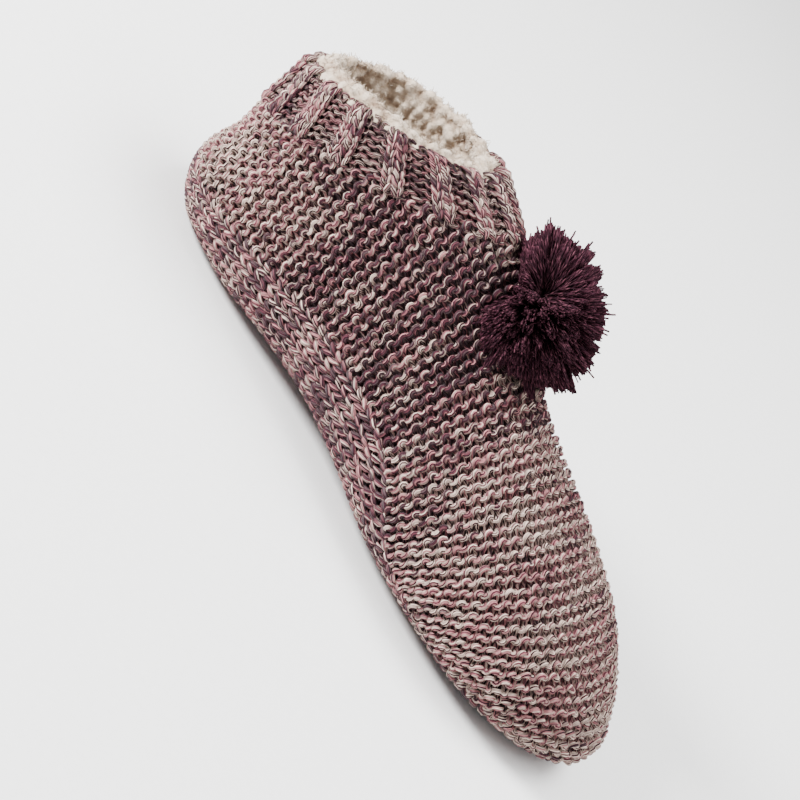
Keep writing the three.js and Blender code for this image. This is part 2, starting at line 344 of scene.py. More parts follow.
def stretches(points, normals, keep):
    """The stretches of a line where keep, a function of points, is positive. Their ends are cut where it is
    zero."""
    value = keep(points)
    value = np.where(np.isnan(points[:, 0]), -1.0, value)
    inside = value > 0
    runs, start = [], None
    for k in range(len(points) + 1):
        here = k < len(points) and inside[k]
        if here and start is None:
            start = k
        if not here and start is not None:
            runs.append((start, k))
            start = None
    made = []
    for a, b in runs:
        p, n = points[a:b], normals[a:b]
        if a > 0 and not np.isnan(points[a - 1, 0]):
            f = value[a] / (value[a] - value[a - 1])
            p = np.vstack([p[:1] + (points[a - 1:a] - p[:1]) * f, p])
            n = np.vstack([n[:1], n])
        if b < len(points) and not np.isnan(points[b, 0]):
            f = value[b - 1] / (value[b - 1] - value[b])
            p = np.vstack([p, p[-1:] + (points[b:b + 1] - p[-1:]) * f])
            n = np.vstack([n, n[-1:]])
        if len(p) > 3 and np.linalg.norm(np.diff(p, axis=0), axis=1).sum() > 4:
            made.append((p, n))
    return made


# Stitches
class Stitch:
    """The path of a stitch, from a table of half of it, from head to sinker: place on the yarn, along the
    course in widths, across it in pitches, height in depths, and thickness"""

    def __init__(self, rows):
        half = np.array(rows, float)
        other = half[-2::-1] * [-1, -1, 1, 1, 1] + [1, 1, 0, 0, 0]
        whole = np.vstack([half, other])
        before, after = whole[:-1] - [1, 1, 0, 0, 0], whole[1:] + [1, 1, 0, 0, 0]
        self.table = fine_curve(np.vstack([before, whole, after]), 8)

    def at(self, t):
        """Along, across, height and thickness at places t on the yarn"""
        number = np.floor(t)
        values = [np.interp(t - number, self.table[:, 0], self.table[:, c]) for c in (1, 2, 3, 4)]
        values[0] = values[0] + number
        return values


VEE = Stitch([  # a knit stitch seen from the front: its legs make a V
    (0.00, 0.00, 0.80, -1.00, 0.80), (0.10, 0.26, 0.78, -0.60, 0.75), (0.17, 0.395, 0.50, 0.15, 0.88),
    (0.26, 0.28, 0.06, 1.00, 1.08), (0.35, 0.15, -0.38, 0.80, 1.02), (0.42, 0.075, -0.68, -0.05, 0.78),
    (0.46, 0.22, -0.84, -0.80, 0.70), (0.50, 0.50, -0.87, -1.00, 0.70),
])
PURL = Stitch([  # seen from the back: its head and its sinker lie across
    (0.00, 0.00, 0.68, 1.00, 1.00), (0.10, 0.24, 0.66, 0.85, 0.95), (0.18, 0.38, 0.46, -0.10, 0.85),
    (0.25, 0.25, 0.00, -1.00, 0.80), (0.32, 0.12, -0.46, -0.10, 0.85), (0.40, 0.26, -0.66, 0.85, 0.95),
    (0.50, 0.50, -0.68, 1.00, 1.00),
])


def stitch_places(line, width, around):
    """Places that cover a line, in stitches from its zero, with around places to a stitch"""
    first, last = -line.zero / width, (line.length - line.zero) / width
    return np.arange(math.floor(first * around), math.ceil(last * around) + 1) / around


def wander(count, size, reach):
    """Smooth random values, one for each of count stitches"""
    raw = rng.normal(0, size, count + 4 * reach)
    kernel = np.hanning(2 * reach + 1)[1:-1] if reach > 1 else np.ones(1)
    kernel = kernel / math.sqrt((kernel ** 2).sum())
    return np.convolve(raw, kernel, "same")[reach:reach + count]


def errors(t, *kinds):
    """Small errors of the stitches at places t, one for each kind: its size, and the stitches it goes over"""
    number = np.arange(math.floor(t[0]) - 1, math.ceil(t[-1]) + 3)
    return [np.interp(t, number, wander(len(number), size, reach)) for size, reach in kinds]


def lay_course(yarns, line, s, across, lift, wave, radius, shown, *, width, depth, tuck, edge=0.0, **yarn):
    """Lays the yarn of one course, from its places s along the line and across it. lift: height of the
    fabric's middle. wave: of the yarn over it, in depths. shown: 1 on top of the fabric, lower where the yarn
    dips under, where the material paints shade. tuck: lengths over which the ends are tucked in. edge: how
    much the outermost wale stands up."""
    ends = (s > 0.05) & (s < line.length - 0.05)
    if ends.sum() < 4:
        return
    keep = slice(np.argmax(ends), len(ends) - np.argmax(ends[::-1]))
    s = np.clip(s[keep], 0, line.length)
    fade = np.minimum(np.clip(s / tuck[0], 0, 1), np.clip((line.length - s) / tuck[1], 0, 1))
    lift = lift[keep] + depth * wave[keep] * (0.4 + 0.6 * fade) - 0.9 * (1 - fade)
    from_edge = (np.minimum(s, line.length - s) - width / 2) / (0.4 * width)
    lift = lift + edge * np.exp(-from_edge ** 2)
    across = across[keep] * (0.5 + 0.5 * fade)
    out = line.at(s, line.out)
    centre = line.at(s, line.points) + line.at(s, line.across) * across[:, None] + unit(out) * lift[:, None]
    yarns.add(centre, out, radius[keep], lift=shown[keep], **yarn)


def knit_garter(yarns, line, *, width, loop, tall, shear, proud, radius, wide, swell, base, **laid):
    """Adds one course of garter stitch. width: of a stitch. loop: how far a loop's legs swing out, in widths.
    tall: half its height, in pitches. shear: its slant. proud, wide and swell: how much higher, wider and
    thicker heads are than sinkers. base: height of the fabric's middle."""
    crowding = 0.45  # of the points at heads and sinkers
    t = stitch_places(line, width, 14)
    t = t - crowding * np.sin(2 * TAU * t) / (2 * TAU)
    along_error, across_error, lift_error, tall_error, thick_error = errors(
        t, (0.16, 1), (0.16, 1), (0.14, 1), (0.07, 1), (0.05, 2))
    turn = TAU * t
    pitch = line.at(t * width + line.zero, np.clip(line.pitch, 1.8, 4.3))
    across = -tall * pitch * (1 + tall_error) * np.cos(turn) + across_error
    swing = loop * np.sin(2 * turn) + wide * np.sin(turn)
    s = (t + swing) * width + line.zero + shear * across + along_error
    wave = np.cos(2 * turn) + proud * np.cos(turn)
    radius = radius * (1 + thick_error + swell * np.cos(turn))
    # painted shade: the yarn is darkened where it dips under the ridges
    shown = np.clip(0.5 + 0.5 * wave, 0, 1)
    lay_course(yarns, line, s, across, base + lift_error, wave, radius, shown, width=width, **laid)


def knit_vees(yarns, line, *, width, radius, base, **laid):
    """Adds one course of smooth knit, with its V's pointing along the line's across direction"""
    t = stitch_places(line, width, 12)
    along, across, height, thick = VEE.at(t)
    along_error, across_error, lift_error = errors(t, (0.048, 1), (0.048, 1), (0.036, 1))
    across = -across * line.at(t * width + line.zero, line.pitch) + across_error
    s = along * width + line.zero + along_error
    # painted shade: the legs are darkened towards their ends, where the yarn goes under
    shown = np.clip(0.5 + 0.5 * height, 0, 1) ** 1.4
    lay_course(yarns, line, s, across, base + lift_error, height, radius * thick, shown, width=width, **laid)


# The courses of the upper
STITCH = 5.1
ROW_PITCH = 3.75
SLANT = -0.38  # of the wales
HEEL_AXIS = 33.0 - FOOT / 2
HEEL_COURSES = 14  # on each side, round the heel
LEAN = np.array([  # place of a course at floor level, and how far its plane leans forward, in degrees
    (2, -8), (33, -5), (60, -3), (109, 0), (135, 12), (160, 30), (185, 47), (205, 60), (219, 72), (231, 85),
    (240, 88),
], float)
# by the number of the course:
LOOP_LEAN = (-14, 0, 8), (-0.22, -0.32, -0.43)
PAINTED_SHADE_BY_COURSE = (-8, 4, 12, 26, 34, 46), (-0.16, 0.0, 0.11, 0.12, -0.02, -0.17)  # painted shade and light: more dark yarn in the middle courses, less at the heel and the toe
SIDEWAYS = np.array([0.0, 1.0, 0.0])
UPWARD = np.array([0.0, 0.0, 1.0])


def lean_at(base):
    return np.radians(np.interp(base, *fine_curve(LEAN).T))


def course_plane(base):
    """Normal and offset of the plane of a course that meets the floor at base, in mm from the heel"""
    lean = lean_at(base)
    normal = np.array([math.cos(lean), 0.0, -math.sin(lean)])
    return normal, normal[0] * (base - FOOT / 2)


def course_origin(base):
    """A point inside the sock in the plane of a course, and the plane's upward direction"""
    lean = lean_at(base)
    up = np.array([math.sin(lean), 0.0, math.cos(lean)])
    low = 6.0 if base > 150 else 12.0
    return np.array([base - FOOT / 2, 0, 0]) + up * low / max(math.cos(lean), 0.2), up


def on_upper(p):
    return np.minimum(p[:, 2] - join_height(p[:, 0]) + 1.2, -cuff_side(p) + 0.8)


def course_bases():
    """Where the courses meet the floor, evenly spaced on average over the side and the top"""
    bases = np.arange(33, 239, 1.0)
    angles = np.radians([-78, -64, -50, -36, -22, -8])
    rates = []
    for base in bases:
        origin, up = course_origin(base)
        points, normals = cast(origin, up, SIDEWAYS, angles)
        normal, offset = course_plane(base + 1)
        slant = np.sqrt(np.maximum(1 - (normals @ normal) ** 2, 0.09))
        rate = np.abs(points @ normal - offset) / slant
        keep = ~np.isnan(rate)
        keep[keep] = on_upper(points[keep]) > 0
        rates.append(rate[keep].mean() if keep.any() else np.nan)
    rates = np.array(rates)
    known = ~np.isnan(rates)
    rates = blur(np.interp(bases, bases[known], rates[known])[:, None], 3)[:, 0]
    count = np.concatenate([[0], np.cumsum(rates[:-1])]) / ROW_PITCH
    return np.interp(np.arange(0, int(count[-1]) + 1), count, bases)


def carry_count(line, known, share, slant):
    """Lets line count its stitches so that its wales go on from those of known, at a share of its length"""
    s = line.length * share
    point = line.at(s, line.points)
    k = np.argmin(np.linalg.norm(known.points - point, axis=1))
    gap = np.linalg.norm(known.points[k] - point)
    line.zero = s - (known.s[k] - known.zero) + slant * gap


def fan_directions(side, count):
    """Directions out from an axis in the heel, over a quarter turn on one side, and those across them"""
    turns = [math.radians(90 + 90 * (k + 0.5) / count) for k in range(count)]
    ways = [np.array([math.cos(a), side * math.sin(a), 0.0]) for a in turns]
    return ways, [np.array([math.sin(a), -side * math.cos(a), 0.0]) for a in turns]


def upper_lines():
    """All courses of the upper as (number, line), numbered from the one over the heel's axis"""
    bases = course_bases()
    planes = [course_plane(b) for b in bases]
    angles = np.radians(np.arange(-112, 112.1, 1.0))
    left, right, full = {}, {}, {}
    for i, base in enumerate(bases):
        origin, up = course_origin(base)
        if origin[0] > 121:
            break
        points, normals = cast(origin, up, SIDEWAYS, angles)
        near = [planes[j] for j in (i - 1, i + 1) if 0 <= j < len(planes)]
        for p, n in stretches(points, normals, on_upper):
            line = Line(p, n, planes[i][0])
            line.pitch = line.pitch_to(*near)
            (full if p[0, 1] < -3 and p[-1, 1] > 3 else left if p[:, 1].mean() < 0 else right)[i] = line
    # round the heel the courses stand upright and fan out from an axis inside it
    axis = np.array([HEEL_AXIS, 0.0, 30.0])
    for side in (-1, 1):
        ways, ahead = fan_directions(side, HEEL_COURSES)
        for k, way in enumerate(ways):
            points, normals = cast(axis, way, UPWARD, np.radians(np.arange(-60, 75, 1.0)))
            near = [(ahead[j], ahead[j] @ axis) for j in (k - 1, k + 1) if 0 <= j < HEEL_COURSES]
            for p, n in stretches(points, normals, on_upper):
                if side > 0:
                    p, n = p[::-1], n[::-1]
                line = Line(p, n, ahead[k])
                line.pitch = line.pitch_to(*near)
                (left if side < 0 else right)[-1 - k] = line
    first = min(full)
    full[first].zero = np.interp(0, full[first].points[:, 1], full[first].s)
    for i in sorted(full)[1:]:
        carry_count(full[i], full[i - 1], 0.26, SLANT)
    for lines in (left, right):
        known = full[first]
        for i in sorted(lines, reverse=True):
            if i <= first:
                carry_count(lines[i], known, 0.5, -SLANT)
                known = lines[i]
    return [(i, line) for lines in (left, right, full) for i, line in sorted(lines.items())]


def knit_upper():
    groups = {"upper_heel": Yarns(7), "upper_instep": Yarns(7), "upper_toe": Yarns(7)}
    for number, line in upper_lines():
        group = groups["upper_heel" if number < 8 else "upper_instep" if number < 30 else "upper_toe"]
        knit_garter(
            group, line, width=STITCH, loop=0.1, tall=0.66, shear=np.interp(number, *LOOP_LEAN), proud=0.12,
            radius=0.96, wide=0.01, swell=0.05, base=-1.2, depth=1.05, tuck=(0.6, 0.6),
            tone=(number * GOLDEN) % 1.0, start=97.0 * number,
            # painted shade and light by course, and a share of dark yarn that changes from course to course
            mood=np.interp(number, *PAINTED_SHADE_BY_COURSE) + 0.11 * math.cos(2.4 * number),
        )
    return [group.make(name) for name, group in groups.items()]


# The sole
SOLE_STITCH = 4.9
SOLE_PITCH = 3.6
SOLE_HEEL_COURSES = 16  # on each side, round the heel


def on_sole(p):
    return join_height(p[:, 0]) - 0.1 - p[:, 2]


def on_sole_beyond(cut):
    """on_sole for what is further than cut from the heel's axis"""
    return lambda p: np.minimum(on_sole(p), np.hypot(p[:, 0] - HEEL_AXIS, p[:, 1]) - cut)


def sole_lines():
    """All courses of the sole as (number, line), numbered from the one under the heel's axis"""
    found = []
    ahead = np.array([1.0, 0, 0])
    angles = np.radians(np.arange(-118, 118.1, 1.5))
    for i, x in enumerate(np.arange(HEEL_AXIS, 124.5, SOLE_PITCH)):
        height = max(3.0, join_height(x) - 6) if x < 60 else 5.0
        points, normals = cast(np.array([x, 0, height]), -UPWARD, SIDEWAYS, angles)
        for p, n in stretches(points, normals, on_sole):
            line = Line(p, n, ahead)
            line.pitch = line.pitch_to((ahead, x - SOLE_PITCH), (ahead, x + SOLE_PITCH))
            found.append((i, line))
    # round the heel they fan out, and every second and fourth one goes nearer to the axis
    axis = np.array([HEEL_AXIS, 0.0, 8.0])
    step = math.radians(90 / SOLE_HEEL_COURSES)
    fans = [(side, *fan_directions(side, SOLE_HEEL_COURSES)) for side in (-1, 1)]
    for k in range(SOLE_HEEL_COURSES):
        keep = on_sole_beyond(2.0 if k % 4 == 0 else 9.0 if k % 2 == 0 else 18.0)
        for side, ways, across in fans:
            points, normals = cast(axis, ways[k], -UPWARD, np.radians(np.arange(-50, 88, 1.5)))
            for p, n in stretches(points, normals, keep):
                line = Line(p, n, across[k])
                reach = np.hypot(line.points[:, 0] - HEEL_AXIS, line.points[:, 1])
                skipped = np.where(reach < 9, 4, np.where(reach < 18, 2, 1))
                line.pitch = np.clip(reach * step * skipped, 1.2, 4.2)
                found.append((-1 - k, line))
    return found


def knit_sole():
    groups = {"sole_heel": Yarns(6), "sole_front": Yarns(6)}
    for number, line in sole_lines():
        parts = []  # line, shift of its tone, tuck, base and edge
        if line.points[0, 1] < 0 < line.points[-1, 1]:
            middle, half_wale = line.length / 2, 0.52 * SOLE_STITCH
            left, right = cut_line(line, 0, middle), cut_line(line, middle, line.length)
            left.zero, right.zero = SOLE_STITCH / 2, right.length - SOLE_STITCH / 2
            crest = cut_line(line, middle - half_wale, middle + half_wale)  # covers the ends of both halves
            crest.zero = crest.length / 2
            parts += [(left, 0.0, (0.8, 1.0), -1.1, 0.5), (right, 0.31, (1.0, 0.8), -1.1, 0.5)]
            parts += [(crest, 0.7, (0.2, 0.2), -0.8, 0.0)]
        else:
            line.zero = SOLE_STITCH / 2
            parts += [(line, 0.0, (0.8, 0.8), -1.1, 0.5)]
        for part, shift, tuck, base, edge in parts:
            knit_vees(
                groups["sole_heel" if number < 22 else "sole_front"], part, width=SOLE_STITCH, radius=0.98,
                base=base, depth=1.0, tuck=tuck, edge=edge, tone=(number * GOLDEN + shift) % 1.0, flat=0.85,
                start=61.0 * number, mood=0.02,
            )
    return [group.make(name, floor=0.02) for name, group in groups.items()]


# The cuff
RIBS = 16
CUFF_COURSES = 7
RIB_RISE = 1.3


def knit_cuff():
    """Closed courses in which knit and purl stitches take turns, two by two"""
    yarns = Yarns(7)
    stitches, around = 4 * RIBS, 14
    t = np.arange(stitches * around) / around  # in stitches, each with its middle at a whole number
    rib = np.clip(0.5 + 0.95 * np.cos(RIBS * (t + 0.5) * TAU / stitches), 0, 1)  # 1 on a rib, 0 in a hollow
    along, across, height, thick = (rib * v + (1 - rib) * p for v, p in zip(VEE.at(t), PURL.at(t)))
    ends = np.arange(stitches + 1)
    # painted shade: darker where the yarn goes under, and darker still in the hollows between the ribs
    shown = np.clip(0.5 + 0.5 * height, 0, 1) ** 1.3 * (0.35 + 0.65 * rib)
    for course in range(CUFF_COURSES):
        drawn = [rng.normal(0, size, stitches) for size in (0.016, 0.035, 0.1)]
        place_error, turn_error, lift_error = (np.interp(t, ends, np.append(v, v[0])) for v in drawn)
        place = CUFF_EDGE * ((course + 0.5) - across) / CUFF_COURSES + place_error
        turn = (along + 0.5 + turn_error) * TAU / stitches
        turn = turn - 0.011 * np.sin(RIBS * turn)  # the knit wales stand close together
        lift = -1.75 + (RIB_RISE + 0.65) * rib + (0.6 + 0.4 * rib) * height + lift_error
        rolled = np.clip((0.16 - place) / 0.16, 0, 2)  # over the rim the loops turn in
        lift = lift - 0.9 * rolled ** 2
        place = np.clip(place, -0.1, CUFF_EDGE + 0.08)
        out = outward_at(place, turn)
        centre = outer_point(place, turn) + out * lift[:, None]
        yarns.add(centre, out, (0.74 + 0.24 * rib) * thick, (course * GOLDEN + 0.37) % 1.0, closed=True,
                  start=53.0 * course, lift=shown, mood=-0.03)
    return yarns.make("cuff_rib")


# The backing: a dark shell that paints the shade seen through the gaps between stitches
def make_shade_shell():
    """A dark closed shell 0.5 mm thick under the yarn: painted shade, seen through the gaps between stitches
    """
    rows, columns = 64, 84
    place, turn = np.meshgrid(np.linspace(0.12, TIP - 0.07, rows), np.arange(columns) * TAU / columns,
                              indexing="ij")
    layers = []
    for out, lowest in ((-2.5, 0.5), (-3.0, 1.0)):
        points = surface_at(place, turn, np.full(place.shape, out))
        points[..., 2] = np.maximum(points[..., 2], lowest)
        layers.append(points.reshape(-1, 3))
    quads, one_layer = grid_quads(rows, columns), rows * columns
    k = np.arange(columns)
    j = (k + 1) % columns
    rim = np.stack([k, j, j + one_layer, k + one_layer], -1)
    quads = np.vstack([quads[:, ::-1], quads + one_layer, rim])
    return new_piece("painted_shade_backing", np.vstack(layers), quads)


# The lining
LIP_ROWS, NEAR_ROWS, FAR_ROWS, LINING_COLUMNS = 16, 112, 26, 280  # of the roll at the rim, heel and foot
LINING_TURN = 9.0  # the section where the wide rows to the toe begin
LINING_END = 19.6
LUMP = 2.7  # least distance between the fleece's lumps
FIBRES = 5200


def lining_places():
    """Places, turns and distances from the outer surface of the fleece's rows, from the rim to the toe"""
    turn = np.arange(LINING_COLUMNS) * TAU / LINING_COLUMNS
    stand = 0.42 + 0.06 * np.sin(3 * turn + 1) + 0.04 * np.sin(7 * turn)
    place, out = [], []
    for a in np.linspace(0, 0.75 * math.pi, LIP_ROWS):  # up the outside of the roll and over its top
        up, over = math.sin(min(a, math.pi / 2)), 1 - math.sin(max(a, math.pi / 2))
        place.append(0.15 - (0.15 + stand) * up + 0.12 * over)
        out.append(np.full(LINING_COLUMNS, -3.2 - 2.2 * (1 - math.cos(a))))
    start = place[-1]
    steps = np.linspace(start.mean(), LINING_TURN, 400)  # even rows down the back and along the heel
    back_line = outer_point(steps, math.pi)
    length = np.concatenate([[0], np.cumsum(np.linalg.norm(np.diff(back_line, axis=0), axis=1))])
    near = np.interp(np.linspace(0, length[-1], NEAR_ROWS + 1)[1:], length, steps)
    far = np.linspace(LINING_TURN, LINING_END, FAR_ROWS + 1)[1:]
    for k, deep in enumerate(np.concatenate([near, far])):
        place.append(deep + (start - start.mean()) * max(0.0, 1 - k / 12))
        out.append(np.full(LINING_COLUMNS, -6.95 + 1.55 * deep / LINING_END))
    place = np.array(place)
    return place, np.broadcast_to(turn, place.shape), np.array(out)


def scattered(points, spacing):
    """Some of the points, picked at random, no two of them nearer than spacing"""
    taken, picked = {}, []
    steps = [(a, b, c) for a in (-1, 0, 1) for b in (-1, 0, 1) for c in (-1, 0, 1)]
    for k in rng.permutation(len(points)):
        cell = tuple((points[k] // spacing).astype(int))
        near = [taken.get((cell[0] + a, cell[1] + b, cell[2] + c)) for a, b, c in steps]
        if all(q is None or np.sum((q - points[k]) ** 2) > spacing ** 2 for q in near):
            taken[cell] = points[k]
            picked.append(points[k])
    return picked


def make_lining():
    """Fleece against the inner wall, with a roll of it standing above the rim, and its loose fibres"""
    place, turn, out = lining_places()
    base = surface_at(place, turn, out)
    base[..., 2] = np.maximum(base[..., 2], 5.0)
    points = base.reshape(-1, 3)
    around = np.roll(base, -1, 1) - np.roll(base, 1, 1)
    normal = unit(np.cross(np.gradient(base, axis=0), around))
    normal *= -np.sign((normal[40] * outward_at(place[40], turn[40])).sum())  # into the sock
    normal = normal.reshape(-1, 3)
    centres = scattered(points, LUMP)
    tree = KDTree(len(centres))
    for k, p in enumerate(centres):
        tree.insert(p, k)
    tree.balance()
    size = rng.uniform(0.6, 1.35, len(centres))
    lift = np.empty(len(points))
    for k, p in enumerate(points):  # each point is lifted by the lumps near it
        pulls = [(size[i] * math.exp(-(d / (2.0 * size[i])) ** 2)) ** 3 for _, i, d in tree.find_n(p, 4)]
        lift[k] = min(1.3, sum(pulls) ** (1 / 3))
    points = points + normal * (lift * 2.3 - 0.9)[:, None] + rng.normal(0, 0.13, points.shape)
    # the lumps' lift also paints shade in the fleece's colour
    fleece = new_piece("lining_fleece", points, grid_quads(*place.shape), values={"lift": lift})
    fibres = Yarns(3)
    seen = np.arange((LIP_ROWS + 44) * LINING_COLUMNS)
    for k in rng.choice(seen, FIBRES, replace=False):
        way = unit(normal[k] + rng.normal(0, 0.55, 3))
        bend = unit(np.cross(way, rng.normal(0, 1, 3))) * 0.35
        reach = rng.uniform(0.7, 1.7)
        curve = points[k] + np.array([-0.3 * way, 0.5 * reach * way + bend, reach * way])
        # each fibre takes the painted shade of the spot it grows from
        fibres.add(curve, np.tile(bend, (3, 1)), np.array([0.16, 0.12, 0.05]), 0.5, lift=float(lift[k]))
    return fleece, fibres.make("lining_fibres")


# The pompom
POMPOM_PLACE = 0.455 * FOOT  # of its middle on the instep line, from the heel
POMPOM_RADIUS = 26.0
POMPOM_RISE = 5.2  # of its middle over the instep
POMPOM_HEIGHT = POMPOM_RADIUS - POMPOM_RISE - 4.0  # of its top over its middle
STRANDS, LOCKS, LOBES = 9200, 400, 16


def pompom_strands():
    """Directions and lengths of the strands: gathered in locks, swelling in lobes, and parted round two
    hollows on the side of the heel and sole. Directions are in the pompom's own frame."""
    k = np.arange(STRANDS)
    height = 1 - (2 * k + 1) / STRANDS
    angle = k * math.pi * (3 - math.sqrt(5))
    flat = np.sqrt(1 - height ** 2)
    ways = np.stack([flat * np.cos(angle), flat * np.sin(angle), height], -1)
    ways = unit(ways + rng.normal(0, 0.04, ways.shape))
    locks = unit(rng.normal(0, 1, (LOCKS, 3)))
    nearest = np.argmax(ways @ locks.T, 1)
    lock_length = rng.normal(0, 1.6, LOCKS)
    clump = rng.uniform(0.25, 0.85, LOCKS)[nearest][:, None]
    ways = unit(ways + clump * (locks[nearest] - ways))
    lobes, lobe_size = unit(rng.normal(0, 1, (LOBES, 3))), rng.normal(0, 1.5, LOBES)
    swelling = np.exp((ways @ lobes.T - 1) * 9) @ lobe_size
    stray = rng.uniform(2, 6, STRANDS) * (rng.random(STRANDS) > 0.988)
    reach = POMPOM_RADIUS + 2.0 + lock_length[nearest] + swelling + rng.normal(0, 0.7, STRANDS) + stray
    return ways, reach


def part_strands(ways, reach, hollow, wide, deep):
    """Turns strands away from the direction of a hollow, wide in degrees, and shortens them there by deep"""
    cosine = ways @ hollow
    inside = np.exp(-(np.degrees(np.arccos(np.clip(cosine, -1, 1))) / wide) ** 2)
    away = unit(ways - cosine[:, None] * hollow)
    return unit(ways + away * (0.7 * inside)[:, None]), reach * (1 - deep * inside)


def make_pompom():
    """Cut yarn, tied in its middle"""
    places = np.linspace(CUFF_EDGE, 12, 4000)
    xs = outer_point(places, 0.0)[:, 0]
    place = places[np.argmax(xs >= POMPOM_PLACE - FOOT / 2)]
    seat, outward = outer_point(place, 0.0), outward_at(place, 0.0)
    middle = seat + outward * POMPOM_RISE
    turn = np.array(Vector((0, 0, 1)).rotation_difference(Vector(outward)).to_matrix())
    ways, reach = pompom_strands()
    right, up, back = (np.array(w) @ turn for w in (CAMERA_RIGHT, CAMERA_UP, CAMERA_BACK))
    ways, reach = part_strands(ways, reach, unit(0.45 * back - 0.75 * right + 0.66 * up), 34.0, 0.66)
    ways, reach = part_strands(ways, reach, unit(0.8 * back + 0.35 * right + 0.55 * up), 25.0, 0.5)
    yarns = Yarns(3)
    share = np.array([0.0, 0.45, 0.78, 1.0])[:, None]
    thick = np.array([0.75, 1.0, 1.0, 0.85])
    flatness = POMPOM_HEIGHT / POMPOM_RADIUS
    for way, length in zip(ways, reach):
        tip = way * length * np.array([1, 1, flatness + (0.1 if way[2] > 0 else 0)])
        root = way * 3.0 * rng.uniform(0.3, 1.2) + rng.normal(0, 1.0, 3)
        curve = root + (tip - root) * share + rng.normal(0, 1.1, 3) * np.sin(share * 2.6) * 0.7
        world = middle + curve @ turn.T
        hit, normal, _, _ = SKIN.find_nearest(Vector(world[-1]))
        normal = np.array(normal) * SKIN_SIGN
        depth = (world[-1] - np.array(hit)) @ normal
        if depth < -3.0 or cuff_side(world[-1]) > -1.0 and world[-1][0] < seat[0] - 22:
            continue  # it would end inside the sock or over the cuff
        if depth < 0.8:
            world[-1] += normal * (0.8 - depth)
            world[-2] += normal * (0.8 - depth) * 0.6
        reference = np.tile(np.cross(world[-1] - world[0], rng.normal(0, 1, 3)), (4, 1))
        # the lift paints shade on the strands, darker towards the pompom's middle
        yarns.add(world, reference, rng.uniform(0.3, 0.46) * thick, float(rng.uniform()),
                  start=float(rng.uniform(0, 50)), lift=np.linalg.norm(curve, axis=1) / POMPOM_RADIUS)
    return yarns.make("pompom_yarn")


# Materials
class Shader:
    """A procedural material, built a node at a time"""

    def __init__(self, name):
        self.material = bpy.data.materials.new(name)
        self.material.use_nodes = True
        self.tree = self.material.node_tree
        self.surface = self.tree.nodes["Principled BSDF"]

    def put(self, socket, value):
        if isinstance(value, bpy.types.NodeSocket):
            self.tree.links.new(value, socket)
        else:
            socket.default_value = value

    def add(self, kind, inputs=(), output=0, **settings):
        node = self.tree.nodes.new("ShaderNode" + kind)
        for key, value in settings.items():
            setattr(node, key, value)
        for key, value in dict(inputs).items():
            self.put(node.inputs[key], value)
        return node.outputs[output]

    def math(self, operation, a, b=0.0):
        return self.add("Math", {0: a, 1: b}, operation=operation)

    def mix(self, factor, a, b, blend="MIX"):
        return self.add("Mix", {0: factor, 6: a, 7: b}, output=2, data_type="RGBA", blend_type=blend)

    def noise(self, vector, scale, detail=2.0, roughness=0.5):
        inputs = {"Vector": vector, "Scale": scale, "Detail": detail, "Roughness": roughness}
        return self.add("TexNoise", inputs)

    def vector(self, x, y, z):
        return self.add("CombineXYZ", {0: x, 1: y, 2: z})

    def ramp(self, factor, stops):
        node = self.tree.nodes.new("ShaderNodeValToRGB")
        elements = node.color_ramp.elements
        while len(elements) < len(stops):
            elements.new(0.5)
        for element, (position, color) in zip(elements, stops):
            element.position = position
            element.color = color
        self.put(node.inputs[0], factor)
        return node.outputs[0]

    def bump(self, height, distance):
        """distance in metres"""
        return self.add("Bump", {"Height": height, "Distance": distance, "Strength": 1.0})


def rgb(*values):
    """A color from its three display values, from 0 to 255 and over 10"""
    return tuple(((value / 255 + 0.055) / 1.055) ** 2.4 for value in values) + (1.0,)


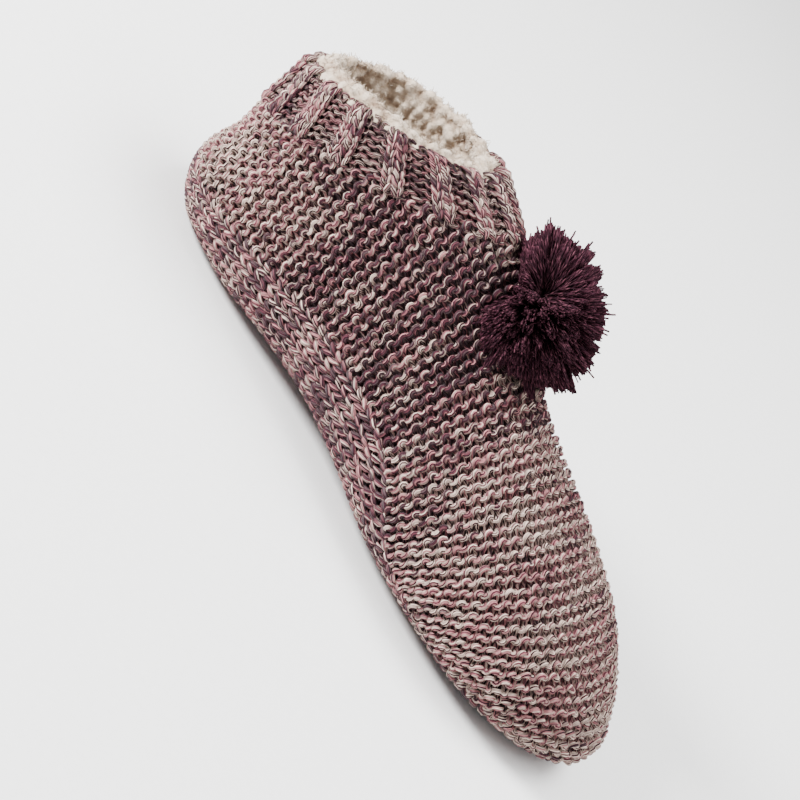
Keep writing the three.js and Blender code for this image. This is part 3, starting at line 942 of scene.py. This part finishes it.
def yarn_material(name, blends, *, turn_length, wobble, sheen, gloss, bump, deep=0.56):
    """Yarn of several plies. blends: lists of their colors round the yarn, of which one or another prevails
    for a stretch, the third where the mood is high, which on the upper paints shade by course. turn_length: in
    which the plies go once round. wobble: how uneven that is, in turns. bump: in mm. deep: how dark the
    painted shade makes the yarn underneath."""
    m = Shader(name)
    place = m.tree.nodes.new("ShaderNodeSeparateXYZ")
    m.put(place.inputs[0], m.add("UVMap", uv_map="yarn"))
    u, v = place.outputs[0], place.outputs[1]
    tone, lift, mood = (m.add("Attribute", attribute_name=key, output=2) for key in ("tone", "lift", "mood"))
    seed = m.math("MULTIPLY", tone, 61.7)

    def along(scale, y, z, detail, roughness=0.5):
        """Noise that changes along the yarn, scale times a millimetre"""
        return m.noise(m.vector(m.math("MULTIPLY", u, scale), y, z), 1.0, detail, roughness)

    twist = m.math("ADD", m.math("MULTIPLY", u, 1 / turn_length),
                   m.math("MULTIPLY", along(0.03, seed, 0.0, 1.0), wobble))
    twist = m.math("ADD", twist, m.math("MULTIPLY", along(0.16, seed, 7.0, 1.0), wobble * 0.4))
    phase = m.math("FRACT", m.math("ADD", v, m.math("ADD", twist, seed)))
    count = len(blends[0])
    ply = m.math("FLOOR", m.math("MULTIPLY", phase, count))
    color = None
    for number, plies in enumerate(blends):
        stops = [((i + edge) / count, c) for i, c in enumerate(plies) for edge in (0.12, 0.88)]
        made = m.ramp(phase, stops)
        if color is None:
            color = made
            continue
        patch = along(0.008, seed, 20.0 + 9 * number, 1.5)
        own = along(0.05, m.math("MULTIPLY", ply, 3.7), 5.0 * number, 0.0)  # each ply changes by itself
        patch = m.math("ADD", patch, m.math("MULTIPLY", m.math("SUBTRACT", own, 0.5), 0.5))
        if number == 2:
            patch = m.math("ADD", patch, mood)
        chosen = m.add("MapRange", {0: patch, 1: 0.51, 2: 0.55, 3: 0.0, 4: 1.0})
        color = m.mix(chosen, color, made)
    ridge = m.math("ABSOLUTE", m.math("SINE", m.math("MULTIPLY", phase, math.pi * count)))
    ridge = m.math("POWER", ridge, 0.9)  # 1 on a ply, 0 in the groove beside it
    # painted shade: the grooves between the plies are darkened
    dark = m.mix(1.0, color, (0.30, 0.22, 0.24, 1), "MULTIPLY")
    color = m.mix(m.math("MULTIPLY", m.math("SUBTRACT", 1.0, ridge), 0.7), color, dark)
    fibre = along(0.25, m.math("MULTIPLY", phase, 15.0), seed, 3.0, 0.65)
    light = m.ramp(fibre, [
        (0.36, (0.42, 0.34, 0.37, 1)), (0.49, (1, 1, 1, 1)), (0.66, (1.4, 1.38, 1.36, 1))])
    color = m.mix(1.0, color, light, "MULTIPLY")
    # painted shade: yarn that lies under the fabric, where lift is low, is darkened
    shadow = m.ramp(lift, [(0.0, (1 - deep, 0.94 - deep, 0.95 - deep, 1)), (0.75, (1, 1, 1, 1))])
    color = m.mix(1.0, color, shadow, "MULTIPLY")
    m.put(m.surface.inputs["Base Color"], color)
    m.surface.inputs["Roughness"].default_value = 0.88
    m.surface.inputs["Sheen Weight"].default_value = sheen
    m.surface.inputs["Sheen Roughness"].default_value = 0.45
    m.surface.inputs["Specular IOR Level"].default_value = gloss
    height = m.math("ADD", ridge, m.math("MULTIPLY", fibre, 0.6))
    m.put(m.surface.inputs["Normal"], m.bump(height, bump * MM))
    return m.material


CREAM = rgb(230, 208, 192)
IVORY = rgb(190, 164, 152)
PINK = rgb(184, 124, 126)
MAUVE = rgb(98, 50, 61)
PLUM = rgb(56, 18, 34)
STONE = rgb(90, 68, 72)


def knit_materials():
    """The yarns of the upper, the sole and the cuff, and that of the pompom"""
    creamy = [CREAM, IVORY, CREAM, PLUM, CREAM, IVORY, CREAM, PLUM, CREAM, PINK, CREAM, MAUVE]
    pinkish = [PINK, CREAM, PINK, MAUVE, PINK, IVORY, PINK, PLUM, PINK, CREAM, PINK, MAUVE]
    dusky = [PLUM, MAUVE, PLUM, STONE, PLUM, MAUVE, IVORY, PLUM, STONE, PLUM, MAUVE, PINK]
    marled = [CREAM, PLUM, IVORY, CREAM, PLUM, PINK, CREAM, PLUM, IVORY, PLUM, PINK, MAUVE]
    speckled = [CREAM, PLUM, IVORY, PLUM, CREAM, MAUVE, CREAM, PLUM, PINK, PLUM, IVORY, PLUM]
    cut_plies = [rgb(60, 31, 42), rgb(84, 50, 60), rgb(40, 21, 29)]
    return (
        yarn_material("heather_yarn", [creamy, pinkish, dusky],
                      turn_length=12.0, wobble=2.0, sheen=0.06, gloss=0.12, bump=0.5),
        yarn_material("heather_even", [marled, pinkish, dusky],
                      turn_length=30.0, wobble=1.6, sheen=0.08, gloss=0.15, bump=0.45),
        yarn_material("heather_marl", [speckled, pinkish, dusky],
                      turn_length=12.0, wobble=2.2, sheen=0.06, gloss=0.12, bump=0.45),
        yarn_material("plum_yarn", [cut_plies],
                      turn_length=6.0, wobble=0.6, sheen=0.0, gloss=0.05, bump=0.15, deep=0.75),
    )


def shade_shell_material():
    # painted shade: dark colours for the shell under the yarn
    m = Shader("painted_shade_shell")
    spot = m.noise(m.add("TexCoord", output=3), 420.0, 3.0)
    m.put(m.surface.inputs["Base Color"], m.ramp(
        spot, [(0.3, rgb(44, 26, 30)), (0.55, rgb(74, 50, 52)), (0.8, rgb(110, 84, 80))]))
    m.surface.inputs["Roughness"].default_value = 1.0
    m.put(m.surface.inputs["Normal"], m.bump(spot, 0.6 * MM))
    return m.material


def fleece_material():
    """Cream fleece, with painted shade between its lumps"""
    m = Shader("cream_fleece")
    place = m.add("TexCoord", output=3)
    curls = m.add("TexVoronoi", {"Vector": place, "Scale": 520.0, "Randomness": 1.0})
    fuzz = m.noise(place, 1500.0, 4.0, 0.7)
    lift = m.add("Attribute", attribute_name="lift", output=2)
    # painted shade: darker where the fleece lies low between its lumps
    color = m.ramp(lift, [(0.0, rgb(128, 102, 82)), (0.5, rgb(180, 158, 136)), (1.0, rgb(204, 186, 166))])
    worn = m.ramp(fuzz, [(0.3, (0.7, 0.68, 0.64, 1)), (0.7, (1, 1, 1, 1))])
    m.put(m.surface.inputs["Base Color"], m.mix(0.25, color, worn, "MULTIPLY"))
    m.surface.inputs["Roughness"].default_value = 0.95
    m.surface.inputs["Sheen Weight"].default_value = 0.3
    m.surface.inputs["Sheen Roughness"].default_value = 0.5
    height = m.math("ADD", m.math("MULTIPLY", curls, 0.5), m.math("MULTIPLY", fuzz, 0.6))
    m.put(m.surface.inputs["Normal"], m.bump(height, 0.9 * MM))
    return m.material


# Camera, floor and light
def aim(azimuth, elevation, slope):
    """Right, up and back of a camera at azimuth and elevation, rolled so that the sole runs down at slope"""
    a, e = math.radians(azimuth), math.radians(elevation)
    back = np.array([math.sin(a) * math.cos(e), -math.cos(a) * math.cos(e), math.sin(e)])
    sole = np.array([1.0, 0, 0]) - back * back[0]
    sole /= np.linalg.norm(sole)
    rise = np.cross(back, sole)
    turn = math.radians(slope)
    right = sole * math.cos(turn) + rise * math.sin(turn)
    up = rise * math.cos(turn) - sole * math.sin(turn)
    return right, up, back


CAMERA_RIGHT, CAMERA_UP, CAMERA_BACK = aim(12.0, 25.0, 58.4)
FILL_OF_FRAME = 0.88
FLOOR_SIZE = 8.0  # in metres, as all that follows


def make_camera():
    data = bpy.data.cameras.new("camera")
    data.lens, data.sensor_width = 100.0, 36.0
    camera = bpy.data.objects.new("camera", data)
    bpy.context.scene.collection.objects.link(camera)
    corners = np.vstack([np.array([v.co for v in node.data.vertices]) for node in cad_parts.values()])
    middle, size = np.zeros(3), 0.0
    for way in (CAMERA_RIGHT, CAMERA_UP):
        seen = corners @ way
        middle = middle + way * (seen.max() + seen.min()) / 2
        size = max(size, seen.max() - seen.min())
    depths = corners @ CAMERA_BACK
    middle = middle + CAMERA_BACK * (depths.max() + depths.min()) / 2
    distance = size / FILL_OF_FRAME * data.lens / data.sensor_width
    place = middle + CAMERA_BACK * distance
    pose = np.eye(4)
    pose[:3] = np.stack([CAMERA_RIGHT, CAMERA_UP, CAMERA_BACK, place], -1)
    camera.matrix_world = Matrix(pose.tolist())
    data.clip_start, data.clip_end = 0.01, 50.0
    bpy.context.scene.camera = camera


def make_light(name, way, distance, size, power):
    """A round soft light that shines on the sock from the direction way"""
    data = bpy.data.lights.new(name, "AREA")
    data.shape, data.size, data.energy = "DISK", size, power
    light = bpy.data.objects.new(name, data)
    way = unit(np.asarray(way, float))
    sock_middle = np.array([0, 0, 0.04])
    light.location = Vector(way * distance + sock_middle)
    light.rotation_mode = "QUATERNION"
    light.rotation_quaternion = Vector(way).to_track_quat("Z", "Y")
    bpy.context.scene.collection.objects.link(light)


def make_studio():
    half = FLOOR_SIZE / 2 / MM
    corners = [(-half, -half, 0), (half, -half, 0), (half, half, 0), (-half, half, 0)]
    floor = new_piece("floor", corners, [(0, 1, 2, 3)])
    paper = Shader("paper")
    grain = paper.noise(paper.add("TexCoord", output=3), 300.0, 3.0)
    paper.put(paper.surface.inputs["Base Color"], paper.ramp(
        grain, [(0.3, (0.94, 0.94, 0.935, 1)), (0.7, (0.97, 0.97, 0.965, 1))]))
    paper.surface.inputs["Roughness"].default_value = 0.7
    floor.data.materials.append(paper.material)
    world = bpy.data.worlds.new("studio")
    world.use_nodes = True
    world.node_tree.nodes["Background"].inputs["Color"].default_value = (1, 1, 1, 1)
    world.node_tree.nodes["Background"].inputs["Strength"].default_value = 0.75
    bpy.context.scene.world = world
    r, u, b = (np.array(w) for w in (CAMERA_RIGHT, CAMERA_UP, CAMERA_BACK))
    make_light("key", 0.8 * u - 0.3 * r + 0.45 * b, 1.3, 0.4, 62.0)
    make_light("fill", 0.9 * r + 0.1 * u + 0.55 * b, 1.5, 1.0, 13.0)
    make_light("top", (0.1, 0.35, 1.0), 1.4, 0.9, 30.0)


make_camera()
make_studio()
heather, even, marl, plum = knit_materials()
painted_shade_shell, cream_fleece = shade_shell_material(), fleece_material()
scene_pieces = [(piece, heather, "garter_knit", "upper") for piece in knit_upper()]
scene_pieces += [(piece, even, "smooth_knit", "sole") for piece in knit_sole()]
scene_pieces += [(knit_cuff(), marl, "ribbed_knit", "cuff")]
scene_pieces += [(make_pompom(), plum, "pompom_yarn", "pompom")]
scene_pieces += [(make_shade_shell(), painted_shade_shell, "garter_knit", None)]
scene_pieces += [(piece, cream_fleece, None, None) for piece in make_lining()]
for piece, material, slot, node in scene_pieces:
    piece.data.materials.append(material)
    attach(piece, "root")
    if node:
        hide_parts(node)
